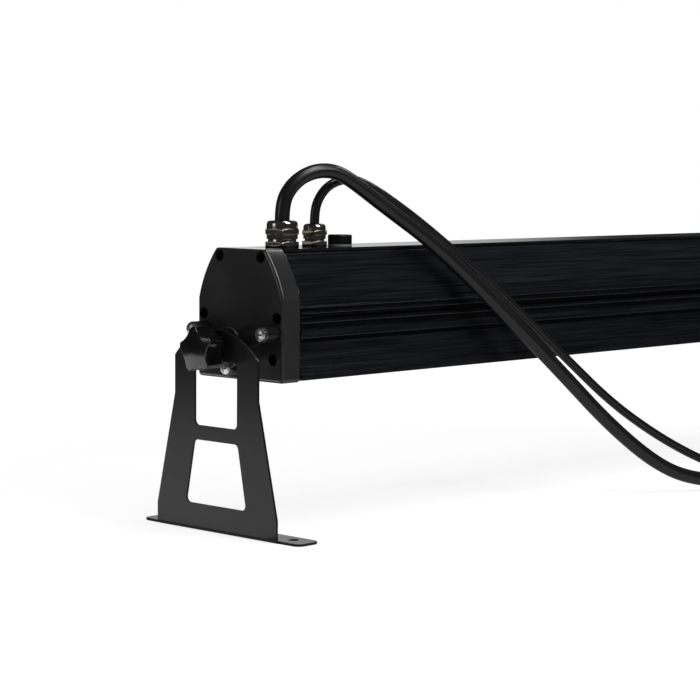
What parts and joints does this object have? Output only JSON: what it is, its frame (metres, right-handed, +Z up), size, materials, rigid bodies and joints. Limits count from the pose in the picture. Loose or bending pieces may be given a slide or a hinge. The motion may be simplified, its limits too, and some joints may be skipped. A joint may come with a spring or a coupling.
{
  "type": "linear floodlight",
  "caption": "Long finned bar lamp turned between two bent sheet feet with star knobs, with two cable glands, a breather and two free cables at one end.",
  "frame": {"origin": "on the floor, under the middle of the bar, between the two feet", "axes": "+X along the bar from the cable end to the plain end, +Y across it away from the cables, +Z up"},
  "size_m": [1.0966, 0.2603, 0.2804],
  "materials": {
    "black_anodised": "satin black anodised extrusion with fine lengthwise lines",
    "black_cast": "satin black powder coat on cast metal",
    "charcoal_coat": "matte charcoal powder coat on sheet steel",
    "zinc_steel": "bright zinc plated steel",
    "black_steel": "blackened steel",
    "plated_brass": "nickel plated brass",
    "black_rubber": "matte black rubber",
    "black_plastic": "matte black moulded plastic",
    "grey_plastic": "pale grey moulded plastic",
    "clear_glass": "clear toughened glass",
    "clear_acrylic": "clear moulded acrylic",
    "white_board": "white solder mask on aluminium board",
    "green_board": "green solder mask on glass-fibre board",
    "phosphor": "yellow phosphor",
    "bare_aluminium": "plain aluminium"
  },
  "bodies": {
    "lamp": {"board_lead": "black_rubber", "board_screws": "zinc_steel", "cap_screws_far": "black_steel", "cap_screws_near": "black_steel", "control_board": "green_board", "control_chips": "black_plastic", "cover_glass": "clear_glass", "driver_case": "bare_aluminium", "driver_chassis": "bare_aluminium", "end_cap_far": "black_cast", "end_cap_near": "black_cast", "end_gasket_far": "black_rubber", "end_gasket_near": "black_rubber", "friction_washer_far": "black_plastic", "friction_washer_near": "black_plastic", "glass_seal": "black_rubber", "housing_profile": "black_anodised", "led_board": "white_board", "led_emitters": "phosphor", "lens_tray": "black_plastic", "lenses": "clear_acrylic", "pivot_plate_far": "black_cast", "pivot_plate_near": "black_cast", "pivot_screws_far": "zinc_steel", "pivot_screws_near": "zinc_steel", "pivot_stud_far": "zinc_steel", "pivot_stud_near": "zinc_steel", "power_cable": "black_rubber", "power_coil": "black_rubber", "power_coil_tie": "black_plastic", "power_connector_body": "black_plastic", "power_connector_insert": "grey_plastic", "power_gland_body": "plated_brass", "power_gland_gasket": "black_rubber", "power_gland_locknut": "plated_brass", "power_gland_nut": "plated_brass", "power_gland_seal": "black_rubber", "power_inner_cable": "black_rubber", "signal_cable": "black_rubber", "signal_coil": "black_rubber", "signal_coil_tie": "black_plastic", "signal_connector_body": "black_plastic", "signal_connector_insert": "grey_plastic", "signal_gland_body": "plated_brass", "signal_gland_gasket": "black_rubber", "signal_gland_locknut": "plated_brass", "signal_gland_nut": "plated_brass", "signal_gland_seal": "black_rubber", "signal_inner_cable": "black_rubber", "vent_plug": "black_plastic", "vent_seal": "grey_plastic"},
    "foot_near": {"foot_near": "charcoal_coat"},
    "knob_washer_near": {"knob_washer_near": "zinc_steel"},
    "knob_near": {"knob_near": "black_plastic"},
    "foot_far": {"foot_far": "charcoal_coat"},
    "knob_washer_far": {"knob_washer_far": "zinc_steel"},
    "knob_far": {"knob_far": "black_plastic"},
    "power_collar": {"power_connector_collar": "black_plastic"},
    "signal_collar": {"signal_connector_collar": "black_plastic"}
  },
  "joints": [
    {"name": "foot_tilt_near", "type": "hinge", "parent": "lamp", "child": "foot_near", "pos_m": [-0.5238, 0, 0.141], "axis": [1, 0, 0], "continuous": true},
    {"name": "clamp_slide_near", "type": "slide", "parent": "lamp", "child": "knob_washer_near", "axis": [-1, 0, 0], "range_m": [0, 0.00251]},
    {"name": "knob_turn_near", "type": "hinge", "parent": "knob_washer_near", "child": "knob_near", "pos_m": [-0.535, 0, 0.141], "axis": [-1, 0, 0], "range_deg": [0, 720]},
    {"name": "foot_tilt_far", "type": "hinge", "parent": "lamp", "child": "foot_far", "pos_m": [0.5238, 0, 0.141], "axis": [1, 0, 0], "continuous": true},
    {"name": "clamp_slide_far", "type": "slide", "parent": "lamp", "child": "knob_washer_far", "axis": [1, 0, 0], "range_m": [0, 0.00251]},
    {"name": "knob_turn_far", "type": "hinge", "parent": "knob_washer_far", "child": "knob_far", "pos_m": [0.535, 0, 0.141], "axis": [1, 0, 0], "range_deg": [0, 720]},
    {"name": "power_collar_turn", "type": "hinge", "parent": "lamp", "child": "power_collar", "pos_m": [0.32277, 0, 0.013], "axis": [0, 1, 0], "continuous": true},
    {"name": "signal_collar_turn", "type": "hinge", "parent": "lamp", "child": "signal_collar", "pos_m": [0.14641, 0, 0.0109], "axis": [0, 1, 0], "continuous": true}
  ],
  "couplings": [
    {"joint": "clamp_slide_near", "follows": "knob_turn_near", "m_per_rad": 0.00019894},
    {"joint": "clamp_slide_far", "follows": "knob_turn_far", "m_per_rad": 0.00019894}
  ]
}
